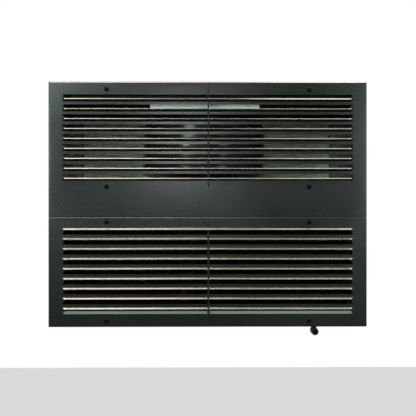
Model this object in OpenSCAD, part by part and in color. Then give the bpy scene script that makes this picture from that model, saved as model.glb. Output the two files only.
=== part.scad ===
/* [Cabinet] */
// Width of the warm-side cabinet
cab_w = 644; // [620:2:720]
// Height of the cabinet
cab_h = 496; // [490:1:520]
// Depth of the cabinet, from the front panels to the cold-room wall
cab_d = 400; // [396:1:440]
// Sheet thickness of the case, deck and brackets
sheet = 1.2; // [0.8:0.1:1.4]
// Acoustic foam thickness under the top cover
liner_t = 30; // [24:1:31]

/* [Front panels] */
// Sheet thickness of the two louvred front panels
panel_t = 2; // [1.5:0.1:2.2]
// Depth of the folded edges around each front panel
return_d = 18; // [14:1:20]
// Outer bend radius of the front panels
edge_r = 4; // [3:0.5:4.5]
// Height of the seam between the two front panels
seam_z = 221.8; // [220:0.1:223]
// Gap at the seam
seam_gap = 0.6; // [0.4:0.1:1]
// Width of the louvre slots
slot_w = 586; // [560:1:592]
// Number of louvres in each panel
louvre_rows = 9; // [6:1:9]
// Spacing of the louvres
louvre_pitch = 20; // [18:0.5:20]
// Height of each louvre slot
slot_h = 14.6; // [12:0.1:15]
// How far a hood of the upper panel stands out
hood_out = 6; // [4:0.5:7]
// How far a hood of the lower panel stands out
lower_hood_out = 3; // [2.5:0.5:5]
// Drop or rise of a louvre hood from its root to its tip
hood_rise = 4.6; // [3.5:0.1:5.5]
// Inward slant of each closed hood end
hood_slant = 4; // [2:0.5:6]
// Height of the top edge of the upper grille
upper_grille_z = 469.4; // [466:0.1:470]
// Height of the top edge of the lower grille
lower_grille_z = 201.2; // [200:0.1:202]

/* [Louvre stays] */
// Width of the comb bar behind each grille
stay_w = 3; // [2:0.5:4]
// Depth of the comb bar behind the panel
stay_back = 12; // [8:1:16]
// How far the comb bar of the upper grille stands proud of the louvre bands
upper_stay_proud = 3.5; // [2:0.5:4]
// How far the comb bar of the lower grille stands proud of the louvre bands
lower_stay_proud = 2.5; // [1.5:0.5:3]
// Height of the tab at each end of a comb bar
stay_tab = 10; // [6:1:10]

/* [Panel screws] */
// Distance between the two columns of panel screws
screw_span = 408.6; // [380:0.2:420]
// Radius of a panel screw head
screw_head_r = 5; // [4:0.25:6]
// Height of a panel screw head
screw_head_h = 2.8; // [2:0.1:3.5]
// Radius of a panel screw shank
screw_r = 2.4; // [2:0.1:3]
// Length of a panel screw shank
screw_len = 12; // [10:1:14]

/* [Deck and pan] */
// Height of the compressor deck
deck_z = 268; // [262:1:270]
// Air gap between the deck and the bulkhead
deck_gap = 55; // [46:1:60]
// Height of the base pan's lip
pan_lip = 30; // [28:1:32]

/* [Compressor] */
// Outer radius of the compressor shell
comp_r = 138; // [120:1:138]
// Wall of the compressor shell
comp_wall = 3.5; // [2.5:0.5:4]
// Height of the straight part of the upper shell
comp_straight = 95; // [80:1:96]
// Height of the domed top
comp_dome = 27; // [20:1:28]
// Depth of the bottom bowl
comp_bowl = 32; // [26:1:34]

/* [Coils] */
// Outer radius of the coil tubes
tube_r = 4.8; // [3.5:0.1:5]
// Depth of a coil fin block
coil_d = 44; // [40:1:46]
// Room between the condenser's fins and each side of the cabinet
cond_side_room = 47; // [46:1:60]
// Room above the condenser's fins, under the lip of the deck
cond_head_room = 2.8; // [2:0.1:20]
// Room between the evaporator's fins and each side of its cover
evap_side_room = 50; // [48:1:70]
// Room above the evaporator's fins, under its cover
evap_head_room = 32; // [24:1:44]

/* [Fans] */
// Radius of the fan blades at their tips
fan_r = 110; // [96:1:111]
// Number of blades on each fan
fan_blades = 5; // [3:1:7]
// Angle of each blade to the fan's plane
blade_angle = 28; // [20:1:30]
// Radius of a fan motor
motor_r = 38; // [30:1:42]
// Length of a fan motor
motor_len = 50; // [40:1:56]
// Radius of a fan shaft
shaft_r = 4; // [3:0.5:5]

/* [Wall plug] */
// Rim of the insulated plug at each side of the evaporator cover
plug_side_rim = 10; // [6:1:18]
// Rim of the insulated plug above and below the evaporator cover
plug_end_rim = 15; // [10:1:20]
// Thickness of the cold-room wall
wall_t = 100; // [80:5:120]
// How far the wall flange stands out around the cabinet
flange_out = 25; // [22:1:35]
// Thickness of the wall gasket
gasket_t = 8; // [5:1:9]
// Radius of the wall bolt holes
wall_bolt_r = 4.5; // [3.5:0.5:5.5]

/* [Cold side] */
// How much narrower the evaporator cover is than the cabinet, at each side
cover_side_room = 52; // [48:1:56]
// How much lower the evaporator cover is than the cabinet, at each end
cover_end_room = 58; // [54:1:62]
// Depth of the evaporator cover behind the wall
cover_d = 280; // [276:2:300]

/* [Drain spout] */
// Distance of the spout from the right side of the cabinet
spout_in = 104; // [80:1:120]
// Outer radius of the spout's nozzle
nozzle_r = 7.2; // [6:0.2:8]
// Outer radius of the spout's neck
neck_r = 5.8; // [5:0.2:6]

/* [Hidden] */

// Smoothness of round parts
$fn = 48;
// Overrun of a cut past the face that it leaves by
over = 1;
// Clearance around a fixed piece in its seat
fit = 0.3;
// Radial clearance of a turning shaft
run_fit = 0.05;
// How far joined shapes of one piece lap into each other
lap = 0.4;
// How far the inside of a pipe bend is from its centre
bend_out = 3;

// Places that follow from the cabinet
front_y = -cab_d;
half_w = cab_w / 2;
panel_back = front_y + panel_t;
frame_back = panel_back + sheet;
side_in = half_w - sheet;
spout_x = half_w - spout_in;
roof_z = cab_h - sheet;
floor_z = panel_t + sheet;
flange_t = 2;
flange_front = -gasket_t - flange_t;
backing_t = 18.8;
bulk_y = flange_front - backing_t - sheet;
ceiling_z = roof_z - liner_t;
cover_w = cab_w - 2 * cover_side_room;
cover_h = cab_h - 2 * cover_end_room;
plug_w = cover_w + 2 * plug_side_rim;
plug_h = cover_h + 2 * plug_end_rim;
plug_mid_z = cab_h / 2;
plug_low = plug_mid_z - plug_h / 2;

// Places of the two coils and of the cold side
coil_rows = 2;
plate_gap = 5;
stub_reach = 8;
line_r = tube_r;
function row_y(j) = coil_d * (j + 0.5) / coil_rows;
function tube_z(h, n, i) = h * (i + 0.5) / n;
cond_cols = 8;
cond_in = 28;
cond_lift = 4.8;
deck_lip = 16;
cond_y = front_y + cond_in;
cond_z = floor_z + cond_lift;
cond_w = cab_w - 2 * cond_side_room;
cond_h = deck_z - sheet - deck_lip - cond_head_room - cond_z;
cond_end = -cond_w / 2 - sheet - plate_gap - stub_reach;
cond_first_z = cond_z + tube_z(cond_h, cond_cols, 0);
cond_front_y = cond_y + row_y(0);
cond_rear_y = cond_y + row_y(1);
line_left = cond_end - 2 * line_r - bend_out;
cold_y = wall_t;
cover_lift = 2;
cover_low = plug_mid_z - cover_h / 2 + cover_lift;
cover_top = cover_low + cover_h;
cover_x = cover_w / 2;
cover_lip = 14;
fan_plate_in = 8;
fan_plate_y = cold_y + cover_d - fan_plate_in;
evap_in = 90;
evap_lift = 36;
evap_y = cold_y + evap_in;
evap_z = cover_low + evap_lift;
evap_w = cover_w - 2 * evap_side_room;
evap_h = cover_h - evap_lift - evap_head_room;
evap_cols = 12;
evap_end = -evap_w / 2 - sheet - plate_gap - stub_reach;
evap_first_z = evap_z + tube_z(evap_h, evap_cols, 0);
evap_front_y = evap_y + row_y(0);
evap_rear_y = evap_y + row_y(1);

// A box between two corners
module box(lo, hi) translate(lo) cube(hi - lo);

// An outline in Y and Z, drawn out along X
module along_x(x0, x1) translate([x0, 0, 0]) rotate([90, 0, 90]) linear_extrude(x1 - x0) children();

// A shape and its mirror image on the other side
module both_sides() {
    children();
    mirror([1, 0, 0]) children();
}

// A round bar along Y
module bar_y(r, y0, y1) translate([0, y0, 0]) rotate([-90, 0, 0]) cylinder(r = r, h = y1 - y0);

// A round bar along X
module bar_x(r, x0, x1) translate([x0, 0, 0]) rotate([0, 90, 0]) cylinder(r = r, h = x1 - x0);

// A pipe along a route of square corners, each one a true bend
function unit(v) = v / norm(v);
module rod(a, b, r) {
    v = b - a;
    translate(a)
        rotate([0, acos(v.z / norm(v)), atan2(v.y, v.x)])
            cylinder(r = r, h = norm(v));
}
module bend(corner, u, v, b, r) {
    c = corner - u * b + v * b;
    w = cross(u, v);
    multmatrix([[-v.x, u.x, w.x, c.x], [-v.y, u.y, w.y, c.y], [-v.z, u.z, w.z, c.z], [0, 0, 0, 1]])
        rotate_extrude(angle = 90) translate([b, 0]) circle(r, $fn = 24);
}
module pipe(route, r) {
    b = r + bend_out;
    last = len(route) - 1;
    for (i = [1:last]) {
        u = unit(route[i] - route[i - 1]);
        rod(route[i - 1] + (i > 1 ? u * b : [0, 0, 0]), route[i] - (i < last ? u * b : [0, 0, 0]), r);
        if (i < last) bend(route[i], u, unit(route[i + 1] - route[i]), b, r);
    }
}

// Front panels: shallow trays with bent edges, slots and pressed hoods
module soft_square(w, h, r) {
    translate([0, r]) square([w, h - r]);
    translate([r, 0]) square([w - 2 * r, h]);
    translate([r, r]) circle(r);
    translate([w - r, r]) circle(r);
}
module tray(z0, z1, seam_low) {
    difference() {
        intersection() {
            translate([-half_w, front_y, z0])
                linear_extrude(z1 - z0) soft_square(cab_w, return_d, edge_r);
            translate([-half_w, front_y, z0])
                rotate([0, 90, 0]) mirror([1, 0, 0])
                    linear_extrude(cab_w) soft_square(z1 - z0, return_d, edge_r);
        }
        box([-half_w + panel_t, panel_back, seam_low ? z0 - over : z0 + panel_t],
            [half_w - panel_t, front_y + return_d + over, seam_low ? z1 - panel_t : z1 + over]);
    }
}
function slot_low(top, i) = top - slot_h - i * louvre_pitch;

// One closed-ended hood, drawn for a slot whose root is at height 0 and that opens upwards
module hood(out) {
    slope = hood_rise / out;
    skin = panel_t * sqrt(1 + slope * slope);
    difference() {
        intersection() {
            along_x(-half_w, half_w)
                polygon([[front_y, 0], [front_y - out, hood_rise], [front_y, slot_h],
                    [front_y + lap, slot_h], [front_y + lap, 0]]);
            translate([0, front_y, 0]) linear_extrude(slot_h)
                polygon([[-slot_w / 2, lap], [slot_w / 2, lap], [slot_w / 2, 0],
                    [slot_w / 2 - hood_slant, -out],
                    [hood_slant - slot_w / 2, -out], [-slot_w / 2, 0]]);
        }
        intersection() {
            along_x(-half_w, half_w)
                polygon([[front_y + 2 * lap, skin - 2 * lap * slope],
                    [front_y - 2 * out, skin + 2 * out * slope],
                    [front_y - 2 * out, 2 * slot_h], [front_y + 2 * lap, 2 * slot_h]]);
            translate([0, front_y, 0]) linear_extrude(2 * slot_h)
                polygon([[panel_t - slot_w / 2, 2 * lap], [slot_w / 2 - panel_t, 2 * lap],
                    [slot_w / 2 - panel_t, 0],
                    [slot_w / 2 - panel_t - 2 * hood_slant, -2 * out],
                    [panel_t + 2 * hood_slant - slot_w / 2, -2 * out],
                    [panel_t - slot_w / 2, 0]]);
        }
    }
}
screw_in = 16;
screw_over_seam = 61.2;
screw_under_seam = 9.3;
low_screw_z = 13.5;
upper_screws_z = [cab_h - screw_in, seam_z + screw_over_seam];
lower_screws_z = [seam_z - screw_under_seam, low_screw_z];
stay_x = 0.8;
mortise_gap = 0.15;
module at_panel_screws(heights) {
    for (s = [-1, 1], z = heights)
        translate([s * screw_span / 2, front_y, z]) children();
}
module front_panel(z0, z1, top, opens_up, out, proud, heights, stay_lo, stay_hi, tabs) {
    difference() {
        union() {
            difference() {
                tray(z0, z1, opens_up);
                for (i = [0:louvre_rows - 1])
                    box([-slot_w / 2, front_y - over, slot_low(top, i)],
                        [slot_w / 2, panel_back + over, slot_low(top, i) + slot_h]);
            }
            for (i = [0:louvre_rows - 1])
                if (opens_up) translate([0, 0, slot_low(top, i)]) hood(out);
                else translate([0, 0, slot_low(top, i) + slot_h]) mirror([0, 0, 1]) hood(out);
        }
        translate([stay_x, 0, 0]) {
            box([-stay_w / 2 - mortise_gap, front_y - proud - mortise_gap, stay_lo],
                [stay_w / 2 + mortise_gap, panel_back + over, stay_hi]);
            for (z = tabs)
                box([-stay_w / 2 - mortise_gap, front_y - over, z - mortise_gap],
                    [stay_w / 2 + mortise_gap, panel_back + over, z + stay_tab + mortise_gap]);
        }
        at_panel_screws(heights) bar_y(screw_r + fit, -over, panel_t + over);
    }
}
tab_gap = 2.5;
upper_low = slot_low(upper_grille_z, louvre_rows - 1);
lower_low = slot_low(lower_grille_z, louvre_rows - 1);
upper_stay_hi = upper_grille_z;
lower_stay_hi = lower_grille_z - hood_rise - panel_t;
upper_tabs = [upper_low - tab_gap - stay_tab, upper_grille_z + tab_gap];
lower_tabs = [lower_low - tab_gap - stay_tab, lower_grille_z + tab_gap];
panel_green = [0.17, 0.2, 0.19];
module upper_front_panel() {
    color(panel_green)
        front_panel(seam_z + seam_gap / 2, cab_h, upper_grille_z, true, hood_out,
            upper_stay_proud, upper_screws_z, upper_low, upper_stay_hi, upper_tabs);
}
module lower_front_panel() {
    color(panel_green)
        front_panel(0, seam_z - seam_gap / 2, lower_grille_z, false, lower_hood_out,
            lower_stay_proud, lower_screws_z, lower_low, lower_stay_hi, lower_tabs);
}

// Comb bars that keep the louvre bands apart, with a tab through the panel at each end
module louvre_stay(proud, lo, hi, tabs) {
    color([0.1, 0.12, 0.12]) translate([stay_x, 0, 0]) {
        box([-stay_w / 2, front_y - proud, lo + mortise_gap],
            [stay_w / 2, panel_back + lap, hi - mortise_gap]);
        box([-stay_w / 2, panel_back, tabs[0]],
            [stay_w / 2, panel_back + stay_back, tabs[1] + stay_tab]);
        for (z = tabs)
            box([-stay_w / 2, front_y, z], [stay_w / 2, panel_back + lap, z + stay_tab]);
    }
}
module upper_louvre_stay() louvre_stay(upper_stay_proud, upper_low, upper_stay_hi, upper_tabs);
module lower_louvre_stay() louvre_stay(lower_stay_proud, lower_low, lower_stay_hi, lower_tabs);

// Button-head screws with a hexagon socket
socket_r = 1.7;
socket_deep = 1.4;
module button_screw(head_r, head_h, shank_r, shank_len) {
    ball_r = (head_r * head_r + head_h * head_h) / (2 * head_h);
    difference() {
        union() {
            intersection() {
                translate([0, -head_h, 0]) rotate([-90, 0, 0]) cylinder(r = head_r, h = head_h);
                translate([0, ball_r - head_h, 0]) sphere(r = ball_r, $fn = 96);
            }
            bar_y(shank_r, -lap, shank_len);
        }
        translate([0, -head_h - over, 0]) rotate([-90, 0, 0])
            cylinder(r = socket_r, h = socket_deep + over, $fn = 6);
    }
}
module front_panel_screws() {
    color([0.03, 0.03, 0.03])
        at_panel_screws(concat(upper_screws_z, lower_screws_z))
            button_screw(screw_head_r, screw_head_h, screw_r, screw_len);
}
module panel_screw_holes() {
    at_panel_screws(concat(upper_screws_z, lower_screws_z))
        bar_y(screw_r + run_fit, -over, screw_len + over);
}

// Front frame: two posts and the middle rail behind the seam
post_w = 25;
frame_d = 18;
post_inner = half_w - panel_t - post_w;
top_flange_h = 24;
post_low = floor_z + pan_lip - sheet;
post_high = cab_h - panel_t - top_flange_h;
galvanised = [0.42, 0.46, 0.44];
module post() {
    box([post_inner, panel_back, post_low], [half_w - panel_t, frame_back, post_high]);
    box([post_inner, panel_back, post_low], [post_inner + sheet, panel_back + frame_d, post_high]);
    box([half_w - panel_t - sheet, panel_back, post_low],
        [half_w - panel_t, panel_back + frame_d, post_high]);
}
module right_post() color([0.13, 0.15, 0.15]) post();
module left_post() color([0.13, 0.15, 0.15]) mirror([1, 0, 0]) post();
rail_under = 1.8;
rail_over = 2.2;
rail_low = lower_grille_z + rail_under;
rail_high = upper_low - rail_over;
module mid_rail() {
    color([0.13, 0.15, 0.15]) difference() {
        union() {
            box([-post_inner, panel_back, rail_low], [post_inner, frame_back, rail_high]);
            for (z = [rail_low, rail_high - sheet])
                box([-post_inner, panel_back, z], [post_inner, panel_back + frame_d, z + sheet]);
        }
        panel_screw_holes();
        stay_room();
    }
}
module stay_room() {
    for (tabs = [upper_tabs, lower_tabs])
        box([stay_x - stay_w / 2 - fit, front_y, tabs[0] - fit],
            [stay_x + stay_w / 2 + fit, panel_back + stay_back + fit, tabs[1] + stay_tab + fit]);
}

// Outer case
case_front = front_y + return_d + fit;
lip_w = 14;
case_screw_r = 1.9;
case_head_r = 4;
case_head_h = 2.2;
case_screw_len = 8;
case_screw_in = 9;
deck_screw_drop = 8;
pan_screw_rise = 12;
case_screw_y = [case_front + case_screw_in, -cab_d / 2, flange_front - case_screw_in];
case_screw_z = [deck_z - deck_screw_drop, floor_z + pan_screw_rise];
module at_case_screws() {
    for (s = [-1, 1], y = case_screw_y, z = case_screw_z)
        translate([s * half_w, y, z]) rotate([0, 0, s * 90]) children();
    for (s = [-1, 1], y = case_screw_y)
        translate([s * half_w, y, roof_z - lip_w / 2]) rotate([0, 0, s * 90]) children();
}
module case_holes() at_case_screws() bar_y(case_screw_r + fit, -over, case_screw_len + over);
gland_y = -100;
gland_z = 40;
gland_thread_r = 8;
module side_panel() {
    difference() {
        union() {
            box([side_in, case_front, panel_t - sheet], [half_w, flange_front, roof_z]);
            box([side_in - lip_w, case_front, panel_t - sheet],
                [side_in + lap, flange_front, panel_t]);
        }
        case_holes();
    }
}
module right_side_panel() {
    color(panel_green) difference() {
        side_panel();
        translate([0, gland_y, gland_z])
            bar_x(gland_thread_r + run_fit, side_in - over, half_w + over);
    }
}
module left_side_panel() color(panel_green) mirror([1, 0, 0]) side_panel();
module top_cover() {
    step_z = cab_h - panel_t;
    color(panel_green) difference() {
        union() {
            box([-half_w, case_front, roof_z], [half_w, flange_front, cab_h]);
            box([-half_w + panel_t + fit, case_front, step_z - sheet],
                [half_w - panel_t - fit, case_front + sheet, cab_h - lap]);
            box([-half_w + panel_t + fit, panel_back, step_z - sheet],
                [half_w - panel_t - fit, case_front + sheet, step_z]);
            box([-half_w + panel_t + fit, panel_back, step_z - top_flange_h],
                [half_w - panel_t - fit, frame_back, step_z]);
            for (s = [-1, 1])
                translate([s * (side_in - sheet / 2), 0, 0])
                    box([-sheet / 2, case_front, roof_z - lip_w],
                        [sheet / 2, flange_front, roof_z + lap]);
        }
        panel_screw_holes();
        stay_room();
        case_holes();
    }
}
module top_liner() {
    color([0.11, 0.11, 0.09])
        difference() {
            box([-side_in + sheet + fit, panel_back + frame_d + fit, ceiling_z],
                [side_in - sheet - fit, bulk_y - fit, roof_z]);
            case_holes();
        }
}
hem = 8;
spout_gap = 8;
spout_y = front_y + return_d + spout_gap;
module base_pan() {
    color([0.2, 0.24, 0.23]) difference() {
        union() {
            box([-side_in, case_front, panel_t], [side_in, flange_front, floor_z]);
            box([-half_w + panel_t + fit, panel_back, panel_t],
                [half_w - panel_t - fit, case_front + lap, floor_z]);
            box([-half_w + panel_t + fit, panel_back, panel_t],
                [half_w - panel_t - fit, frame_back, panel_t + pan_lip]);
            box([-post_inner, panel_back, panel_t + pan_lip - sheet],
                [post_inner, panel_back + hem, panel_t + pan_lip]);
            for (s = [-1, 1])
                translate([s * (side_in - sheet / 2), 0, 0])
                    box([-sheet / 2, panel_back + frame_d + fit, panel_t],
                        [sheet / 2, flange_front, panel_t + pan_lip]);
        }
        panel_screw_holes();
        stay_room();
        case_holes();
        translate([spout_x, spout_y, 0]) cylinder(r = neck_r + run_fit, h = floor_z + over);
    }
}
module case_screws() {
    color([0.05, 0.05, 0.05])
        at_case_screws() button_screw(case_head_r, case_head_h, case_screw_r, case_screw_len);
}

// Compressor deck and bulkhead
deck_back = bulk_y - deck_gap;
comp_x = -8;
comp_gap = 5;
comp_y = deck_back - comp_r - comp_gap;
foot_x = 115;
foot_y = 100;
foot_bolt_r = 4;
module at_feet() {
    for (x = [-foot_x, foot_x], y = [-foot_y, foot_y])
        translate([comp_x + x, comp_y + y, deck_z]) children();
}
module mid_deck() {
    color(galvanised) difference() {
        union() {
            box([-side_in + fit, frame_back, deck_z - sheet], [side_in - fit, deck_back, deck_z]);
            box([-side_in + fit, deck_back - sheet, deck_z - deck_lip],
                [side_in - fit, deck_back, deck_z]);
            for (s = [-1, 1])
                translate([s * (side_in - fit - sheet / 2), 0, 0])
                    box([-sheet / 2, panel_back + frame_d + fit, deck_z - deck_lip],
                        [sheet / 2, deck_back, deck_z - lap]);
        }
        both_sides() box([post_inner - fit, front_y, deck_z - deck_lip - over],
            [half_w, panel_back + frame_d + fit, deck_z + over]);
        case_holes();
        translate([stay_x, 0, 0])
            box([-stay_w / 2 - fit, front_y, deck_z - over - sheet],
                [stay_w / 2 + fit, panel_back + stay_back + fit, deck_z + over]);
        at_feet() translate([0, 0, -sheet - over])
            cylinder(r = foot_bolt_r + run_fit, h = sheet + 2 * over);
    }
}
suction_room = 7;
feed_room = 11;
suction_x = evap_end - line_r - suction_room;
feed_x = evap_end - line_r - feed_room;
feed_z = 200;
drain_r = 8;
drain_x = 200;
module wall_passages() {
    translate([suction_x, 0, evap_first_z]) bar_y(line_r + fit, bulk_y - over, wall_t + over);
    translate([feed_x, 0, feed_z]) bar_y(line_r + fit, bulk_y - over, wall_t + over);
    translate([drain_x, 0, drain_z]) bar_y(drain_r + fit, bulk_y - over, wall_t + over);
}
module bulkhead() {
    color([0.5, 0.58, 0.54]) difference() {
        box([-side_in + sheet + fit, bulk_y, floor_z],
            [side_in - sheet - fit, bulk_y + sheet, roof_z]);
        wall_passages();
    }
}
tray_x0 = -119;
tray_x1 = 106;
tray_in = 23;
tray_front = front_y + tray_in;
tray_d = 24;
tray_h = 24;
module wiring_tray() {
    color([0.55, 0.6, 0.57]) difference() {
        box([tray_x0, tray_front, ceiling_z - tray_h],
            [tray_x1, tray_front + tray_d, ceiling_z]);
        box([tray_x0 + sheet, tray_front + sheet, ceiling_z - tray_h + sheet],
            [tray_x1 - sheet, tray_front + tray_d - sheet, ceiling_z + over]);
    }
}

// Compressor: bowl, upper shell with its stubs, motor inside, feet on rubber
foot_t = 3;
grommet_h = 22;
bowl_z = deck_z + grommet_h + foot_t;
seam_ring_h = 9;
seam_ring_out = 3.5;
weld_z = bowl_z + comp_bowl;
dome_z = weld_z + comp_straight;
stub_span = 51;
stub_back = 20;
stub_drop = 1;
stub_top = dome_z + comp_dome - stub_drop;
stub_r = 7;
dome_steps = 12;
function quarter(r, h) =
    [for (i = [0:dome_steps]) [r * cos(90 * i / dome_steps), h * sin(90 * i / dome_steps)]];
module solid_dome(r, h) {
    rotate_extrude($fn = 96)
        polygon(concat([[0, 0]], quarter(r, h)));
}
black_shell = [0.02, 0.02, 0.025];
module compressor_upper_shell() {
    color(black_shell) translate([comp_x, comp_y, 0]) {
        difference() {
            union() {
                translate([0, 0, weld_z]) cylinder(r = comp_r, h = comp_straight, $fn = 96);
                translate([0, 0, dome_z]) solid_dome(comp_r, comp_dome);
                for (x = [-stub_span, 0, stub_span])
                    translate([x, stub_back, dome_z]) cylinder(r = stub_r, h = stub_top - dome_z);
            }
            translate([0, 0, weld_z - over])
                cylinder(r = comp_r - comp_wall, h = comp_straight + over, $fn = 96);
            translate([0, 0, dome_z - lap])
                solid_dome(comp_r - comp_wall, comp_dome - comp_wall);
        }
    }
}
module compressor_lower_shell() {
    color(black_shell) translate([comp_x, comp_y, weld_z]) {
        difference() {
            union() {
                mirror([0, 0, 1]) solid_dome(comp_r, comp_bowl);
                translate([0, 0, -seam_ring_h])
                    cylinder(r = comp_r + seam_ring_out, h = seam_ring_h, $fn = 96);
            }
            translate([0, 0, lap]) mirror([0, 0, 1])
                solid_dome(comp_r - comp_wall, comp_bowl - comp_wall + lap);
        }
    }
}
stator_r_share = 0.62;
pump_r_share = 0.2;
pump_lift = 1.2;
module compressor_motor() {
    color([0.45, 0.3, 0.2]) translate([comp_x, comp_y, 0]) {
        translate([0, 0, weld_z + fit])
            cylinder(r = comp_r * stator_r_share, h = comp_straight - fit);
        translate([0, 0, bowl_z + comp_wall + pump_lift])
            cylinder(r = comp_r * pump_r_share, h = comp_bowl);
    }
}
foot_w = 30;
module compressor_feet() {
    color(black_shell) difference() {
        union() {
            for (s = [-1, 1]) translate([comp_x, comp_y + s * foot_y, bowl_z - foot_t])
                translate([-foot_x - foot_w / 2, -foot_w / 2, 0])
                    cube([2 * foot_x + foot_w, foot_w, foot_t]);
            translate([comp_x - foot_w, comp_y - foot_y, bowl_z - foot_t])
                cube([2 * foot_w, 2 * foot_y, foot_t]);
        }
        at_feet() cylinder(r = foot_bolt_r + fit, h = grommet_h + foot_t + over);
    }
}
grommet_r = 14;
grommet_neck_share = 0.75;
grommet_flange_share = 0.4;
module compressor_grommets() {
    color([0.04, 0.04, 0.04]) at_feet() difference() {
        union() {
            cylinder(r = grommet_r, h = grommet_h * grommet_flange_share);
            cylinder(r = grommet_r * grommet_neck_share, h = grommet_h);
        }
        translate([0, 0, -over]) cylinder(r = foot_bolt_r + fit, h = grommet_h + 2 * over);
    }
}
bolt_head_h = 5;
bolt_head_r = 8;
module compressor_bolts() {
    color([0.6, 0.6, 0.6]) at_feet() {
        for (z = [grommet_h + foot_t, -sheet - bolt_head_h])
            translate([0, 0, z]) cylinder(r = bolt_head_r, h = bolt_head_h, $fn = 6);
        translate([0, 0, -sheet - bolt_head_h])
            cylinder(r = foot_bolt_r, h = grommet_h + foot_t + sheet + bolt_head_h + lap);
    }
}
cover_out = 22;
cover_wide = 56;
cover_tall = 60;
cover_rise = 15;
module terminal_cover() {
    color([0.06, 0.06, 0.06]) translate([comp_x, comp_y, weld_z + cover_rise]) difference() {
        box([-cover_wide / 2, 0, 0], [cover_wide / 2, comp_r + cover_out, cover_tall]);
        translate([0, 0, -over])
            cylinder(r = comp_r + fit, h = cover_tall + 2 * over, $fn = 96);
    }
}

// Refrigerant lines
line_top = stub_top + line_r + bend_out + lap;
rise_in = 30;
discharge_in = 45;
rise_y = bulk_y - rise_in;
discharge_y = bulk_y - discharge_in;
discharge_cross_z = 150;
module discharge_line() {
    x = comp_x - stub_span;
    y = comp_y + stub_back;
    color([0.72, 0.42, 0.27]) pipe([[x, y, stub_top], [x, y, line_top], [x, discharge_y, line_top],
        [x, discharge_y, discharge_cross_z], [line_left, discharge_y, discharge_cross_z],
        [line_left, discharge_y, cond_first_z], [line_left, cond_rear_y, cond_first_z],
        [cond_end, cond_rear_y, cond_first_z]], line_r);
}
module suction_line() {
    x = comp_x + stub_span;
    y = comp_y + stub_back;
    color([0.05, 0.05, 0.05]) pipe([[x, y, stub_top], [x, y, line_top],
        [x, rise_y, line_top], [x, rise_y, evap_first_z], [suction_x, rise_y, evap_first_z],
        [suction_x, evap_front_y, evap_first_z], [evap_end, evap_front_y, evap_first_z]], line_r);
}
drier_y = -120;
drier_low = 60;
drier_len = 110;
drier_r = 18;
drier_neck = 8;
liquid_in = 10;
drier_neck_wall = 2;
liquid_left = -half_w + liquid_in;
liquid_step = 17;
module liquid_line() {
    color([0.72, 0.42, 0.27]) pipe([[cond_end, cond_front_y, cond_first_z],
        [liquid_left, cond_front_y, cond_first_z], [liquid_left, drier_y, cond_first_z],
        [liquid_left, drier_y, cond_first_z + liquid_step],
        [feed_x, drier_y, cond_first_z + liquid_step],
        [feed_x, drier_y, drier_low - drier_neck]], line_r);
}
module feed_line() {
    color([0.72, 0.42, 0.27]) pipe([[feed_x, drier_y, drier_low + drier_len + drier_neck],
        [feed_x, drier_y, feed_z], [feed_x, evap_rear_y, feed_z],
        [feed_x, evap_rear_y, valve_top]], line_r);
}
module filter_drier() {
    color([0.1, 0.2, 0.45]) translate([feed_x, drier_y, drier_low]) {
        cylinder(r = drier_r, h = drier_len);
        translate([0, 0, -drier_neck])
            cylinder(r1 = line_r + drier_neck_wall, r2 = drier_r, h = drier_neck);
        translate([0, 0, drier_len])
            cylinder(r1 = drier_r, r2 = line_r + drier_neck_wall, h = drier_neck);
    }
}
valve_r = 9;
valve_h = 28;
valve_rise = 18;
valve_top = evap_first_z + valve_rise;
valve_head_r = 14;
valve_head_h = 8;
valve_wall = 1;
module expansion_valve() {
    color([0.7, 0.6, 0.3]) translate([feed_x, evap_rear_y, 0]) {
        translate([0, 0, valve_top - valve_h]) cylinder(r = valve_r, h = valve_h);
        translate([0, 0, valve_top - valve_h - valve_head_h])
            cylinder(r = valve_head_r, h = valve_head_h + lap);
        translate([0, 0, evap_first_z]) bar_x(line_r + valve_wall, 0, evap_end - feed_x);
    }
}

// Finned coils: fin block, end plates and one hairpin tube
plate_over = 3;
module coil_bores(w, h, n, r) {
    for (j = [0:coil_rows - 1], i = [0:n - 1])
        translate([0, row_y(j), tube_z(h, n, i)]) bar_x(r, -w / 2 - over, w / 2 + over);
}
module coil_fins(w, h, n) {
    difference() {
        box([-w / 2, 0, 0], [w / 2, coil_d, h]);
        coil_bores(w, h, n, tube_r + run_fit);
    }
}
module coil_plate(w, h, n, low) {
    difference() {
        box([w / 2, 0, -low], [w / 2 + sheet, coil_d, h + plate_over]);
        coil_bores(w + 4 * sheet, h, n, tube_r + run_fit);
    }
}
// Half a torus in the XZ plane that bulges towards -X
module half_ring(r) {
    rotate([0, -90, 0]) rotate([90, 0, 0])
        rotate_extrude(angle = 180) translate([r, 0]) circle(tube_r);
}
module coil_tubes(w, h, n) {
    pitch = h / n;
    reach = w / 2 + sheet + plate_gap;
    for (j = [0:coil_rows - 1]) translate([0, row_y(j), 0]) {
        for (i = [0:n - 1]) translate([0, 0, tube_z(h, n, i)])
            bar_x(tube_r, i == 0 ? -reach - stub_reach : -reach, reach);
        for (i = [0:2:n - 2]) translate([reach, 0, tube_z(h, n, i) + pitch / 2])
            mirror([1, 0, 0]) half_ring(pitch / 2);
        for (i = [1:2:n - 2]) translate([-reach, 0, tube_z(h, n, i) + pitch / 2])
            half_ring(pitch / 2);
    }
    translate([-reach, coil_d / 2, tube_z(h, n, n - 1)])
        rotate([90, 0, 0]) half_ring((row_y(1) - row_y(0)) / 2);
}
module at_condenser() translate([0, cond_y, cond_z]) children();
module condenser_fins() {
    color([0.03, 0.03, 0.03]) at_condenser() coil_fins(cond_w, cond_h, cond_cols);
}
module condenser_tubes() {
    color([0.03, 0.03, 0.03]) at_condenser() coil_tubes(cond_w, cond_h, cond_cols);
}
module coil_plates(w, h, n, low) {
    coil_plate(w, h, n, low);
    mirror([1, 0, 0]) coil_plate(w, h, n, low);
}
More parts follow.
